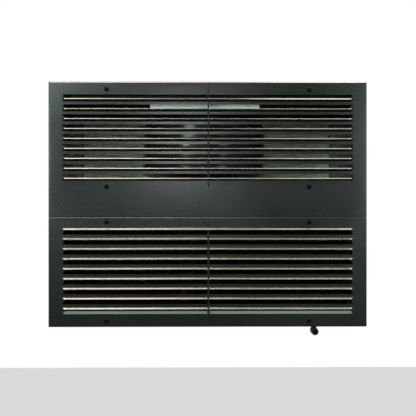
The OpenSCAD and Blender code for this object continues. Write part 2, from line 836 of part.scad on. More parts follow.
module condenser_end_plates() {
    color([0.03, 0.03, 0.03]) at_condenser() coil_plates(cond_w, cond_h, cond_cols, cond_z - floor_z);
}

// Fans: plate with collars, strap-mounted motors, hub with tilted blades
plenum_d = 32;
fan_gap = 4;
collar_d = 24;
hub_r = 30;
blade_t = 2.5;
motor_gap = 6;
motor_y = collar_d + motor_gap;
strap_w = 16;
strap_over = 6;
strap_reach = fan_r + fan_gap + strap_over;
bore_deep = 30;
shaft_short = 2;
hub_shift = 2;
blade_shift = 1;
blade_root_share = 0.8;
fan_spread = 2.5;
shroud_rim = 8;
shroud_y = cond_y + coil_d + plenum_d;
cond_fan_x = cond_w / 4 + fan_spread;
cond_fan_z = floor_z + fan_r + fan_gap + shroud_rim;
shroud_h = 2 * (fan_r + fan_gap + shroud_rim);
module collar() {
    difference() {
        bar_y(fan_r + fan_gap + sheet, -lap, collar_d);
        bar_y(fan_r + fan_gap, -over, collar_d + over);
    }
}
module fan_motor() {
    difference() {
        bar_y(motor_r, motor_y, motor_y + motor_len);
        bar_y(shaft_r + run_fit, motor_y - over, motor_y + bore_deep);
    }
    box([-strap_reach, motor_y + motor_len, -strap_w / 2],
        [strap_reach, motor_y + motor_len + 2 * sheet, strap_w / 2]);
    for (s = [-1, 1]) translate([s * (strap_reach - sheet), 0, 0])
        box([-sheet, 0, -strap_w / 2], [sheet, motor_y + motor_len + 2 * sheet, strap_w / 2]);
}
module fan() {
    bar_y(hub_r, hub_shift, collar_d + hub_shift);
    bar_y(shaft_r, collar_d, motor_y + bore_deep - shaft_short);
    intersection() {
        bar_y(fan_r, 0, collar_d);
        for (i = [0:fan_blades - 1]) rotate([0, i * 360 / fan_blades, 0])
            translate([0, collar_d / 2 + blade_shift, hub_r * blade_root_share])
                rotate([0, 0, blade_angle])
                translate([-fan_r / 2, -blade_t / 2, 0]) cube([fan_r, blade_t, fan_r]);
    }
}
module fan_shroud() {
    color([0.06, 0.06, 0.06]) translate([0, shroud_y, 0]) {
        difference() {
            box([-cond_w / 2 - sheet, -plenum_d, floor_z],
                [cond_w / 2 + sheet, 0, floor_z + shroud_h]);
            box([-cond_w / 2, -plenum_d - over, floor_z + sheet],
                [cond_w / 2, -sheet, floor_z + shroud_h - sheet]);
            for (s = [-1, 1]) translate([s * cond_fan_x, 0, cond_fan_z])
                bar_y(fan_r + fan_gap, -sheet - over, over);
        }
        for (s = [-1, 1]) translate([s * cond_fan_x, 0, cond_fan_z]) collar();
    }
}
module at_condenser_fan(s) translate([s * cond_fan_x, shroud_y, cond_fan_z]) children();
module left_condenser_motor() color([0.12, 0.12, 0.13]) at_condenser_fan(-1) fan_motor();
module right_condenser_motor() color([0.12, 0.12, 0.13]) at_condenser_fan(1) fan_motor();
module left_condenser_fan() color([0.2, 0.2, 0.22]) at_condenser_fan(-1) fan();
module right_condenser_fan() color([0.2, 0.2, 0.22]) at_condenser_fan(1) fan();

// Electrical box on the bulkhead, with what it holds
ebox_gap = 5;
ebox_w = 67;
ebox_d = 150;
ebox_h = 170;
ebox_x1 = half_w - ebox_gap;
ebox_x0 = ebox_x1 - ebox_w;
ebox_y0 = bulk_y - ebox_d;
ebox_z0 = 60;
ebox_z1 = ebox_z0 + ebox_h;
module electrical_box() {
    color(galvanised) difference() {
        box([ebox_x0, ebox_y0, ebox_z0], [ebox_x1 - sheet, bulk_y, ebox_z1]);
        box([ebox_x0 + sheet, ebox_y0 + sheet, ebox_z0 + sheet],
            [ebox_x1 + over, bulk_y - sheet, ebox_z1 - sheet]);
    }
}
module electrical_box_lid() {
    color(galvanised) box([ebox_x1 - sheet, ebox_y0, ebox_z0], [ebox_x1, bulk_y, ebox_z1]);
}
part_seat = ebox_x0 + sheet;
part_in = 15;
contactor_d = 42;
contactor_w = 45;
contactor_h = 70;
contactor_step = 8;
module contactor() {
    color([0.15, 0.15, 0.16])
        translate([part_seat, ebox_y0 + part_in, ebox_z1 - contactor_h - part_in]) {
            cube([contactor_d, contactor_w, contactor_h]);
            translate([0, contactor_step, contactor_step])
                cube([contactor_d + contactor_step, contactor_w - 2 * contactor_step,
                    contactor_h - 2 * contactor_step]);
        }
}
capacitor_r = 20;
capacitor_h = 80;
module run_capacitor() {
    color([0.75, 0.75, 0.72])
        translate([part_seat + capacitor_r, bulk_y - 2 * capacitor_r, ebox_z0 + sheet])
            cylinder(r = capacitor_r, h = capacitor_h);
}
block_d = 12;
block_len = 60;
block_h = 34;
ways = 6;
way_d = 20;
way_w = 7;
way_h = 18;
module terminal_block() {
    way_pitch = block_len / ways;
    color([0.8, 0.8, 0.75]) translate([part_seat, ebox_y0 + part_in, ebox_z0 + part_in]) {
        cube([block_d, block_len, block_h]);
        for (i = [0:ways - 1])
            translate([0, (i + 0.5) * way_pitch - way_w / 2, (block_h - way_h) / 2])
                cube([way_d, way_w, way_h]);
    }
}
gland_nut_share = 1.5;
gland_cap_share = 1.25;
gland_nut_h_share = 0.4;
gland_bore_r = 5;
gland_out = 18;
module cable_gland() {
    color([0.05, 0.05, 0.05]) translate([0, gland_y, gland_z]) difference() {
        union() {
            translate([half_w, 0, 0]) rotate([0, 90, 0])
                cylinder(r = gland_thread_r * gland_nut_share, h = gland_out * gland_nut_h_share,
                    $fn = 6);
            bar_x(gland_thread_r * gland_cap_share, half_w, half_w + gland_out);
            bar_x(gland_thread_r, side_in - gland_thread_r, half_w + lap);
        }
        bar_x(gland_bore_r, side_in - gland_thread_r - over, half_w + gland_out + over);
    }
}

// Drain spout under the pan, and the pipe that feeds the pan from the cold side
nozzle_len = 18;
elbow_len = 6;
elbow_wall = 0.4;
nozzle_z = -11.2;
spout_bore_r = 3.6;
nozzle_bore_r = 5;
nut_r = 9;
nut_h = 2.8;
module drain_spout() {
    color([0.02, 0.02, 0.02]) translate([spout_x, spout_y, 0]) difference() {
        union() {
            translate([0, 0, nozzle_z]) cylinder(r = neck_r, h = floor_z - nozzle_z + nut_h);
            translate([0, 0, floor_z]) cylinder(r = nut_r, h = nut_h, $fn = 6);
            translate([0, 0, nozzle_z]) bar_y(nozzle_r, -nozzle_len, 0);
            translate([0, 0, nozzle_z]) bar_y(nozzle_r + elbow_wall, -elbow_len, 0);
            translate([0, 0, nozzle_z]) sphere(r = nozzle_r + elbow_wall);
        }
        translate([0, 0, nozzle_z])
            cylinder(r = spout_bore_r, h = floor_z - nozzle_z + nut_h + over);
        translate([0, 0, nozzle_z]) bar_y(nozzle_bore_r, -nozzle_len - over, 0);
    }
}
drain_bore_r = 6.5;
drain_end = 12;
drain_in = 30;
module drain_pipe() {
    y = bulk_y - drain_in;
    color([0.85, 0.85, 0.85]) pipe([[drain_x, cold_y + tray_front_d, drain_z],
        [drain_x, y, drain_z], [drain_x, y, drain_end]], drain_r);
}

// Insulated plug, wall flange and gasket
module insulated_plug() {
    color([0.8, 0.82, 0.8]) difference() {
        union() {
            box([-side_in + sheet + fit, bulk_y + sheet, floor_z + fit],
                [side_in - sheet - fit, flange_front, roof_z - fit]);
            box([-plug_w / 2, flange_front - lap, plug_low],
                [plug_w / 2, wall_t, plug_low + plug_h]);
        }
        wall_passages();
        case_holes();
    }
}
bolt_in = 12.5;
module at_wall_bolts() {
    for (s = [-1, 1], z = [bolt_in - flange_out, cab_h + flange_out - bolt_in])
        translate([s * (half_w + flange_out - bolt_in), 0, z]) children();
}
module flange_ring(y0, y1) {
    difference() {
        box([-half_w - flange_out, y0, -flange_out],
            [half_w + flange_out, y1, cab_h + flange_out]);
        box([-plug_w / 2 - fit, y0 - over, plug_low - fit],
            [plug_w / 2 + fit, y1 + over, plug_low + plug_h + fit]);
        at_wall_bolts() bar_y(wall_bolt_r, y0 - over, y1 + over);
    }
}
module wall_flange() color(galvanised) flange_ring(flange_front, -gasket_t);
module wall_gasket() color([0.05, 0.05, 0.05]) flange_ring(-gasket_t, 0);

// Cold side: cover, coil, fan plate, fans, guards and drip tray
cold_fan_in = 3;
cold_fan_rise = 10;
cold_fan_x = cover_w / 4 - cold_fan_in;
cold_fan_z = cover_low + cover_h / 2 + cold_fan_rise;
white_coat = [0.82, 0.84, 0.84];
module evaporator_cover() {
    color(white_coat) {
        box([-cover_x, cold_y, cover_top - sheet], [cover_x, cold_y + cover_d, cover_top]);
        for (s = [-1, 1]) {
            translate([s * (cover_x - sheet / 2), 0, 0])
                box([-sheet / 2, cold_y, cover_low], [sheet / 2, cold_y + cover_d, cover_top]);
            translate([s * (cover_x - cover_lip / 2), 0, 0])
                box([-cover_lip / 2, cold_y, cover_low],
                    [cover_lip / 2, cold_y + cover_d, cover_low + sheet]);
            translate([s * (cover_x - cover_lip / 2), 0, 0])
                box([-cover_lip / 2, cold_y, cover_low], [cover_lip / 2, cold_y + sheet, cover_top]);
        }
        box([-cover_x, cold_y, cover_top - cover_lip], [cover_x, cold_y + sheet, cover_top]);
    }
}
module evaporator_fan_plate() {
    color(white_coat) difference() {
        union() {
            box([-cover_x + sheet, fan_plate_y, tray_z + tray_tall + fit],
                [cover_x - sheet, fan_plate_y + sheet, cover_top - sheet]);
            for (s = [-1, 1]) translate([s * cold_fan_x, fan_plate_y, cold_fan_z])
                rotate([0, 0, 180]) collar();
        }
        for (s = [-1, 1]) translate([s * cold_fan_x, 0, cold_fan_z])
            bar_y(fan_r + fan_gap, fan_plate_y - over, fan_plate_y + sheet + over);
    }
}
module at_evaporator() translate([0, evap_y, evap_z]) children();
module evaporator_fins() {
    color([0.75, 0.77, 0.78]) at_evaporator() coil_fins(evap_w, evap_h, evap_cols);
}
module evaporator_tubes() {
    color([0.72, 0.42, 0.27]) at_evaporator() coil_tubes(evap_w, evap_h, evap_cols);
}
module evaporator_end_plates() {
    color(galvanised) at_evaporator()
        coil_plates(evap_w, evap_h, evap_cols, evap_z - tray_z - sheet);
}
module at_evaporator_fan(s) {
    translate([s * cold_fan_x, fan_plate_y, cold_fan_z]) rotate([0, 0, 180]) children();
}
module left_evaporator_motor() color([0.12, 0.12, 0.13]) at_evaporator_fan(-1) fan_motor();
module right_evaporator_motor() color([0.12, 0.12, 0.13]) at_evaporator_fan(1) fan_motor();
module left_evaporator_fan() color([0.2, 0.2, 0.22]) at_evaporator_fan(-1) fan();
module right_evaporator_fan() color([0.2, 0.2, 0.22]) at_evaporator_fan(1) fan();
wire_r = 1.25;
guard_rings = 5;
guard_over = 5;
module hoop(r) {
    difference() {
        bar_y(r + wire_r, -wire_r, wire_r);
        bar_y(r - wire_r, -wire_r - over, wire_r + over);
    }
}
module fan_guard() {
    outer = fan_r + fan_gap + guard_over;
    inner = hub_r;
    for (i = [0:guard_rings - 1]) hoop(inner + (outer - inner) * i / (guard_rings - 1));
    for (a = [45:90:315]) rotate([0, a, 0])
        box([-wire_r, -wire_r, inner], [wire_r, wire_r, outer]);
}
module evaporator_fan_guards() {
    color([0.1, 0.1, 0.1]) for (s = [-1, 1])
        translate([s * cold_fan_x, fan_plate_y + sheet + wire_r, cold_fan_z]) fan_guard();
}
tray_z = cover_low + sheet;
tray_tall = 20;
tray_front_d = 80;
drain_clear = 1;
drain_z = tray_z + sheet + drain_r + drain_clear;
module drip_tray() {
    color(white_coat) difference() {
        box([-cover_x + sheet + fit, cold_y + tray_front_d, tray_z],
            [cover_x - sheet - fit, fan_plate_y + sheet, tray_z + tray_tall]);
        box([-cover_x + 2 * sheet + fit, cold_y + tray_front_d + sheet, tray_z + sheet],
            [cover_x - 2 * sheet - fit, fan_plate_y, tray_z + tray_tall + over]);
        translate([drain_x, 0, drain_z])
            bar_y(drain_bore_r, cold_y + tray_front_d - over, cold_y + tray_front_d + sheet + over);
    }
}

upper_front_panel();
lower_front_panel();
upper_louvre_stay();
lower_louvre_stay();
front_panel_screws();
left_post();
right_post();
mid_rail();
left_side_panel();
right_side_panel();
top_cover();
top_liner();
base_pan();
case_screws();
mid_deck();
bulkhead();
wiring_tray();
compressor_upper_shell();
compressor_lower_shell();
compressor_motor();
compressor_feet();
compressor_grommets();
compressor_bolts();
terminal_cover();
discharge_line();
suction_line();
liquid_line();
feed_line();
filter_drier();
expansion_valve();
condenser_fins();
condenser_tubes();
condenser_end_plates();
fan_shroud();
left_condenser_motor();
right_condenser_motor();
left_condenser_fan();
right_condenser_fan();
electrical_box();
electrical_box_lid();
contactor();
run_capacitor();
terminal_block();
cable_gland();
drain_spout();
drain_pipe();
insulated_plug();
wall_flange();
wall_gasket();
evaporator_cover();
evaporator_fan_plate();
evaporator_fins();
evaporator_tubes();
evaporator_end_plates();
left_evaporator_motor();
right_evaporator_motor();
left_evaporator_fan();
right_evaporator_fan();
evaporator_fan_guards();
drip_tray();
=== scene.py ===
import math
import bpy
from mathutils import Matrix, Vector


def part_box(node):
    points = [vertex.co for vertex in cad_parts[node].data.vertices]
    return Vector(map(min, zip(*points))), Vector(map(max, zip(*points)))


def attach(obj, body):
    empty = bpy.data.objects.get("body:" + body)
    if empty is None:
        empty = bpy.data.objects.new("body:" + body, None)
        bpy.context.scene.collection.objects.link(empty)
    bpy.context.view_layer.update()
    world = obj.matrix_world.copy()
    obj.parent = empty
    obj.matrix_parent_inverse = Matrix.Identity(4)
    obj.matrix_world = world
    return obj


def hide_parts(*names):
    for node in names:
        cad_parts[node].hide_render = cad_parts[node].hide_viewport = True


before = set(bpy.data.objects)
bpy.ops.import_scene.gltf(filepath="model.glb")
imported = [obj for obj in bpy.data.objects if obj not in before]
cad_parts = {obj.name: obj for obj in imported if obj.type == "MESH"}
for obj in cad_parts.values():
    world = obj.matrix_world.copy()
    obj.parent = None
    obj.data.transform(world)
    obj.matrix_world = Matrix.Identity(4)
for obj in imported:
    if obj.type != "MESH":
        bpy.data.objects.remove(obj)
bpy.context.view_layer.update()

scene = bpy.context.scene

# Base pan: a folded steel tray under the whole cabinet, in a satin grey-green coat.
# Its front lip is the pale strip that shows in the lowest louvre gap.


class Signal:
    """A value that varies over a surface; sums and products of signals add Math nodes."""

    def __init__(self, finish, socket):
        self.finish = finish
        self.socket = socket

    def math(self, operation, a, b):
        return self.finish.add("ShaderNodeMath", {"operation": operation}, {0: a, 1: b})

    def __add__(self, other):
        return self.math("ADD", self, other)

    __radd__ = __add__

    def __mul__(self, other):
        return self.math("MULTIPLY", self, other)

    __rmul__ = __mul__

    def __sub__(self, other):
        return self.math("SUBTRACT", self, other)

    def __rsub__(self, other):
        return self.math("SUBTRACT", other, self)


class Finish:
    """A material in the making: one Principled shader and the nodes that feed it."""

    def __init__(self, name, **constants):
        self.material = bpy.data.materials.new(name)
        self.material.use_nodes = True
        self.tree = self.material.node_tree
        self.tree.nodes.clear()
        self.shader = self.tree.nodes.new("ShaderNodeBsdfPrincipled")
        self.output = self.tree.nodes.new("ShaderNodeOutputMaterial")
        self.tree.links.new(self.shader.outputs[0], self.output.inputs[0])
        for key, value in constants.items():
            self.shader.inputs[key.replace("_", " ")].default_value = value
        self.place = self.add("ShaderNodeTexCoord", {}, {}, "Object")

    def add(self, kind, settings, sockets, output=0):
        node = self.tree.nodes.new(kind)
        for key, value in settings.items():
            setattr(node, key, value)
        for key, value in sockets.items():
            self.connect(node.inputs[key], value)
        return Signal(self, node.outputs[output])

    def connect(self, socket, value):
        if isinstance(value, Signal):
            self.tree.links.new(value.socket, socket)
        else:
            socket.default_value = value

    def feed(self, **signals):
        for key, value in signals.items():
            self.connect(self.shader.inputs[key.replace("_", " ")], value)

    def noise(self, size, detail=2.0, roughness=0.5, where=None):
        return self.add("ShaderNodeTexNoise", {},
                        {"Vector": where or self.place, "Scale": 1 / size, "Detail": detail,
                         "Roughness": roughness})

    def cells(self, size, output="Distance"):
        return self.add("ShaderNodeTexVoronoi", {},
                        {"Vector": self.place, "Scale": 1 / size}, output)

    def between(self, signal, low, high):
        """The part of a signal from low to high, stretched to run from 0 to 1."""
        return self.add("ShaderNodeMapRange", {"clamp": True},
                        {"Value": signal, "From Min": low, "From Max": high})

    def upward(self, low, high):
        """1 where the surface faces up, 0 where it is steeper than the lower limit."""
        normal = self.add("ShaderNodeNewGeometry", {}, {}, "Normal")
        return self.between(self.add("ShaderNodeSeparateXYZ", {}, {0: normal}, "Z"), low, high)

    def blend(self, factor, a, b):
        return self.add("ShaderNodeMix", {"data_type": "RGBA"}, {0: factor, 6: a, 7: b}, 2)

    def bump(self, height, distance, strength):
        return self.add("ShaderNodeBump", {},
                        {"Height": height, "Distance": distance, "Strength": strength})


def powder_coat(name, shade, tint, rough, peel, **constants):
    """A sprayed coat: slow clouds in its colour, an orange-peel skin and a few dull specks."""
    finish = Finish(name, **constants)
    clouds = finish.between(finish.noise(0.16, 3.0), 0.3, 0.7)
    specks = finish.between(finish.noise(0.0022, 1.0), 0.66, 0.72)
    skin = finish.noise(0.0016, 3.0, 0.6)
    finish.feed(Base_Color=finish.blend(specks * 0.5, finish.blend(clouds, shade, tint),
                                        [value * 1.5 for value in tint[:3]] + [1]),
                Roughness=clouds * 0.06 + specks * 0.12 + rough,
                Normal=finish.bump(skin, peel, 0.5))
    return finish


def start(piece):
    """Makes a piece the only selected one."""
    bpy.ops.object.select_all(action="DESELECT")
    piece.select_set(True)
    bpy.context.view_layer.objects.active = piece


def modify(piece, kind, **settings):
    """Adds a modifier to a piece and applies it."""
    start(piece)
    modifier = piece.modifiers.new(kind.lower(), kind)
    for key, value in settings.items():
        setattr(modifier, key, value)
    bpy.ops.object.modifier_apply(modifier=modifier.name)


def shown(piece, name, finish, body="case", stands_for=()):
    """Names a finished piece, paints it and lets it ride on its body."""
    piece.name = piece.data.name = name
    piece.data.materials.clear()
    piece.data.materials.append(finish.material)
    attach(piece, body)
    if stands_for:
        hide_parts(*stands_for)


smooth_angle = math.radians(35)


def smoothed(piece):
    """Smooth shading within an angle, led by the large faces, so that flat sheet looks flat."""
    start(piece)
    bpy.ops.object.shade_smooth_by_angle(angle=smooth_angle)
    modify(piece, "WEIGHTED_NORMAL", keep_sharp=True)


def dressed(node, finish, edge=0.0004):
    """A copy of a CAD piece with its edges eased, which then stands for it."""
    same_point = 0.00001
    flat_angle = math.radians(1)
    piece = bpy.data.objects.new(node + " piece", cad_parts[node].data.copy())
    scene.collection.objects.link(piece)
    start(piece)
    bpy.ops.object.mode_set(mode="EDIT")
    bpy.ops.mesh.select_all(action="SELECT")
    bpy.ops.mesh.remove_doubles(threshold=same_point)
    bpy.ops.mesh.dissolve_limited(angle_limit=flat_angle)
    bpy.ops.object.mode_set(mode="OBJECT")
    if edge:
        modify(piece, "BEVEL", width=edge, segments=2, limit_method="ANGLE",
               angle_limit=math.radians(40), harden_normals=False)
    smoothed(piece)
    shown(piece, node + "_piece", finish, stands_for=[node])


frame_coat = powder_coat("frame coat", (0.020, 0.026, 0.024, 1), (0.030, 0.037, 0.034, 1),
                         rough=0.42, peel=0.00012, Specular_IOR_Level=0.45)
pan_coat = powder_coat("pan coat", (0.17, 0.22, 0.20, 1), (0.22, 0.27, 0.25, 1),
                       rough=0.45, peel=0.00012, Specular_IOR_Level=0.45)
dressed("base_pan", pan_coat)

# Front frame: two posts and the wide middle rail behind the seam, folded from steel sheet.
# They are coated dark and only show as edges at the ends of the louvre slots.
dressed("left_post", frame_coat)
dressed("right_post", frame_coat)
dressed("mid_rail", frame_coat)

# Deck, bulkhead and wiring tray: zinc-coated sheet, pale through the upper grille.
# The zinc has spangles a few millimetres wide, each with its own shade and shine.
zinc_sheet = Finish("galvanised sheet", Metallic=0.15)
spangle = zinc_sheet.add("ShaderNodeSeparateColor", {}, {0: zinc_sheet.cells(0.011, "Color")})
bloom = zinc_sheet.between(zinc_sheet.noise(0.09, 4.0, 0.6), 0.35, 0.7)
zinc_sheet.feed(
    Base_Color=zinc_sheet.blend(spangle * 0.5 + bloom * 0.3, (0.72, 0.84, 0.79, 1),
                                (0.81, 0.92, 0.88, 1)),
    Roughness=spangle * 0.14 + bloom * 0.1 + 0.36,
    Normal=zinc_sheet.bump(spangle + zinc_sheet.noise(0.002, 2.0) * 0.4, 0.00006, 0.5))
for node in ("mid_deck", "bulkhead", "wiring_tray"):
    dressed(node, zinc_sheet)

# Compressor: a gloss black pot of two drawn shells with a weld ring, three tube stubs on top.
# The stator and pump inside are kept as simple bodies, and a grey dust lies on what faces up.


def turned(rings, place=(0, 0, 0), facing_back=False, sides=64):
    """A round solid from rings of (radius, distance along its axis), upright or along Y."""
    bpy.ops.object.select_all(action="DESELECT")
    bpy.ops.mesh.primitive_circle_add(vertices=sides, radius=rings[0][0], fill_type="NGON",
                                      location=(0, 0, rings[0][1]))
    piece = bpy.context.object
    bpy.ops.object.transform_apply(location=True)
    bpy.ops.object.mode_set(mode="EDIT")
    bpy.ops.mesh.select_all(action="SELECT")
    for (r0, h0), (r1, h1) in zip(rings, rings[1:]):
        bpy.ops.mesh.extrude_region_move(TRANSFORM_OT_translate={"value": (0, 0, h1 - h0)})
        bpy.ops.transform.resize(value=(r1 / r0, r1 / r0, 1), center_override=(0, 0, h1))
    bpy.ops.mesh.select_all(action="SELECT")
    bpy.ops.mesh.normals_make_consistent(inside=False)
    bpy.ops.object.mode_set(mode="OBJECT")
    piece.location = place
    piece.rotation_euler = (-math.pi / 2 if facing_back else 0, 0, 0)
    bpy.ops.object.transform_apply(location=True, rotation=True)
    bpy.ops.object.shade_smooth_by_angle(angle=smooth_angle)
    return piece


def joined(pieces):
    """One piece from several."""
    start(pieces[0])
    for piece in pieces[1:]:
        piece.select_set(True)
    bpy.ops.object.join()
    return bpy.context.object


enamel = Finish("black enamel", Coat_Roughness=0.12, Coat_IOR=1.4, Specular_IOR_Level=0.2)
dust = enamel.upward(0.55, 0.98) * enamel.between(enamel.noise(0.03, 5.0, 0.65), 0.3, 0.75)
runs = enamel.noise(0.05, 3.0)
enamel.feed(
    Base_Color=enamel.blend(dust * 0.55, enamel.blend(enamel.between(runs, 0.35, 0.7),
                            (0.010, 0.013, 0.014, 1), (0.014, 0.017, 0.019, 1)),
                            (0.16, 0.15, 0.12, 1)),
    Roughness=dust * 0.4 + enamel.between(enamel.noise(0.012, 3.0), 0.3, 0.8) * 0.07 + 0.17,
    Coat_Weight=0.2 - dust * 0.2,
    Normal=enamel.bump(enamel.noise(0.006, 3.0) + enamel.noise(0.0012, 2.0) * 0.2, 0.00012, 0.35))
shell_low, shell_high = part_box("compressor_upper_shell")
shell_centre = (shell_low + shell_high) / 2
shell_r = (shell_high.x - shell_low.x) / 2
pole_r = 0.002
arc_steps = 16


def drawn_arc(rim_z, depth):
    """Rings of a drawn shell end, from just past its rim to just short of its pole."""
    turns = [math.radians(90) * step / arc_steps for step in range(1, arc_steps)]
    return [(shell_r * math.cos(turn), rim_z + depth * math.sin(turn)) for turn in turns]


dome_base = 0.420
dome_rise = 0.027
rings = [(shell_r, shell_low.z), (shell_r, dome_base)]
rings += drawn_arc(dome_base, dome_rise)
rings.append((pole_r, dome_base + dome_rise))
pot = [turned(rings, (shell_centre.x, shell_centre.y, 0), sides=128)]
stub_r = 0.007
stub_top = 0.446
stub_ease = 0.0008
stub_spacing = 0.051
stub_back = 0.020
for offset in (-stub_spacing, 0, stub_spacing):
    stub = [(stub_r, dome_base), (stub_r, stub_top - stub_ease),
            (stub_r - stub_ease * 0.75, stub_top)]
    pot.append(turned(stub, (shell_centre.x + offset, shell_centre.y + stub_back, 0), sides=32))
shown(joined(pot), "upper_pot", enamel,
      stands_for=["compressor_upper_shell"])
bowl_low, bowl_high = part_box("compressor_lower_shell")
weld_r = (bowl_high.x - bowl_low.x) / 2
weld_foot = 0.3160
weld_shoulder = 0.3238
weld_ease = 0.001
bowl = [(pole_r, bowl_low.z)]
bowl += reversed(drawn_arc(bowl_high.z, bowl_low.z - bowl_high.z))
bowl += [(shell_r, weld_foot), (weld_r - weld_ease, weld_foot), (weld_r, weld_foot + weld_ease),
         (weld_r, weld_shoulder), (weld_r - weld_ease * 1.4, bowl_high.z)]
shown(turned(bowl, (shell_centre.x, shell_centre.y, 0), sides=128), "lower_pot", enamel,
      stands_for=["compressor_lower_shell"])
dressed("compressor_feet", enamel, edge=0.0006)
motor_steel = powder_coat("motor enamel", (0.020, 0.021, 0.024, 1), (0.032, 0.033, 0.036, 1),
                          rough=0.38, peel=0.00008, Specular_IOR_Level=0.5)
dressed("compressor_motor", motor_steel, edge=0.001)

# Compressor mounts: soft black rubber grommets under the feet, held down by bright zinc bolts.
# A moulded cover clips over the terminals on the compressor's side.
rubber = Finish("black rubber", Specular_IOR_Level=0.3)
wear = rubber.between(rubber.noise(0.02, 4.0), 0.35, 0.75)
rubber.feed(Base_Color=rubber.blend(wear, (0.010, 0.010, 0.010, 1), (0.024, 0.024, 0.023, 1)),
            Roughness=wear * 0.14 + 0.68,
            Normal=rubber.bump(rubber.noise(0.0008, 3.0), 0.0001, 0.6))
dressed("compressor_grommets", rubber, edge=0.0008)
zinc = Finish("bright zinc", Metallic=1.0)
film = zinc.between(zinc.noise(0.006, 3.0), 0.3, 0.7)
zinc.feed(Base_Color=zinc.blend(film, (0.55, 0.54, 0.50, 1), (0.66, 0.66, 0.63, 1)),
          Roughness=film * 0.12 + 0.24, Normal=zinc.bump(zinc.noise(0.0007, 2.0), 0.00003, 0.5))
dressed("compressor_bolts", zinc, edge=0.0005)
plastic = Finish("black plastic", Specular_IOR_Level=0.45)
scuff = plastic.between(plastic.noise(0.015, 5.0, 0.6), 0.45, 0.75)
plastic.feed(Base_Color=plastic.blend(scuff, (0.009, 0.009, 0.010, 1), (0.020, 0.020, 0.021, 1)),
             Roughness=scuff * 0.15 + 0.42,
             Normal=plastic.bump(plastic.noise(0.0009, 2.0), 0.00007, 0.5))
dressed("terminal_cover", plastic, edge=0.0012)

# Condenser: dipped in black coat as a whole, fins, hairpins and end plates.
# The fins are real thin plates with a zigzag across the air's way, two millimetres apart.


def settle(piece):
    """Brings a piece's place, turn and size into its mesh."""
    start(piece)
    bpy.ops.object.transform_apply(location=True, rotation=True, scale=True)


def pick(piece, kind, test):
    """Leaves a piece in edit mode with the vertices, edges or faces selected that pass a test."""
    start(piece)
    bpy.ops.object.mode_set(mode="EDIT")
    bpy.ops.mesh.select_mode(type=kind)
    bpy.ops.mesh.select_all(action="DESELECT")
    bpy.ops.object.mode_set(mode="OBJECT")
    points = piece.data.vertices
    if kind == "VERT":
        for vertex in points:
            vertex.select = test(vertex.co)
    elif kind == "EDGE":
        for edge in piece.data.edges:
            edge.select = test(points[edge.vertices[0]].co, points[edge.vertices[1]].co)
    else:
        for face in piece.data.polygons:
            face.select = test(face.center)
    bpy.ops.object.mode_set(mode="EDIT")


def fin_pack(node, name, finish, gap):
    """A block of upright zigzag fins that fills the box of a CAD fin block."""
    folds = 6
    fold = 0.0004
    end_room = 0.0005
    low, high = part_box(node)
    depth = high.y - low.y
    bpy.ops.object.select_all(action="DESELECT")
    bpy.ops.mesh.primitive_grid_add(x_subdivisions=folds, y_subdivisions=1, size=1,
                                    rotation=(math.pi / 2, 0, math.pi / 2))
    fin = bpy.context.object
    fin.scale = (depth, high.z - low.z, 1)
    fin.location = (low.x + end_room, (low.y + high.y) / 2, (low.z + high.z) / 2)
    settle(fin)
    step = depth / folds
    pick(fin, "VERT", lambda v: round((v.y - low.y) / step) % 2 == 1)
    bpy.ops.transform.translate(value=(fold, 0, 0))
    bpy.ops.object.mode_set(mode="OBJECT")
    modify(fin, "SOLIDIFY", thickness=0.00016, offset=0)
    run = high.x - low.x - 2 * end_room - fold
    count = int(run / gap) + 1
    modify(fin, "ARRAY", count=count, use_relative_offset=False, use_constant_offset=True,
           constant_offset_displace=(run / (count - 1), 0, 0))
    shown(fin, name, finish, stands_for=[node])


fin_black = Finish("black fin coat", Specular_IOR_Level=0.2)
lint = fin_black.between(fin_black.noise(0.03, 5.0, 0.6), 0.5, 0.8)
fin_black.feed(Base_Color=fin_black.blend(lint, (0.0035, 0.0035, 0.0038, 1),
                                          (0.009, 0.009, 0.008, 1)),
               Roughness=lint * 0.2 + 0.62,
               Normal=fin_black.bump(fin_black.noise(0.0015, 2.0), 0.00005, 0.4))
fin_pack("condenser_fins", "condenser_fin_pack", fin_black, gap=0.002)
for node in ("condenser_tubes", "condenser_end_plates"):
    dressed(node, fin_black, edge=0)

# Condenser fans: a black shroud with two rolled collars, strap-mounted motors, five-blade fans.
# A blade is drawn row by row from root to tip, wider and flatter towards the tip.


round_angle = math.radians(40)


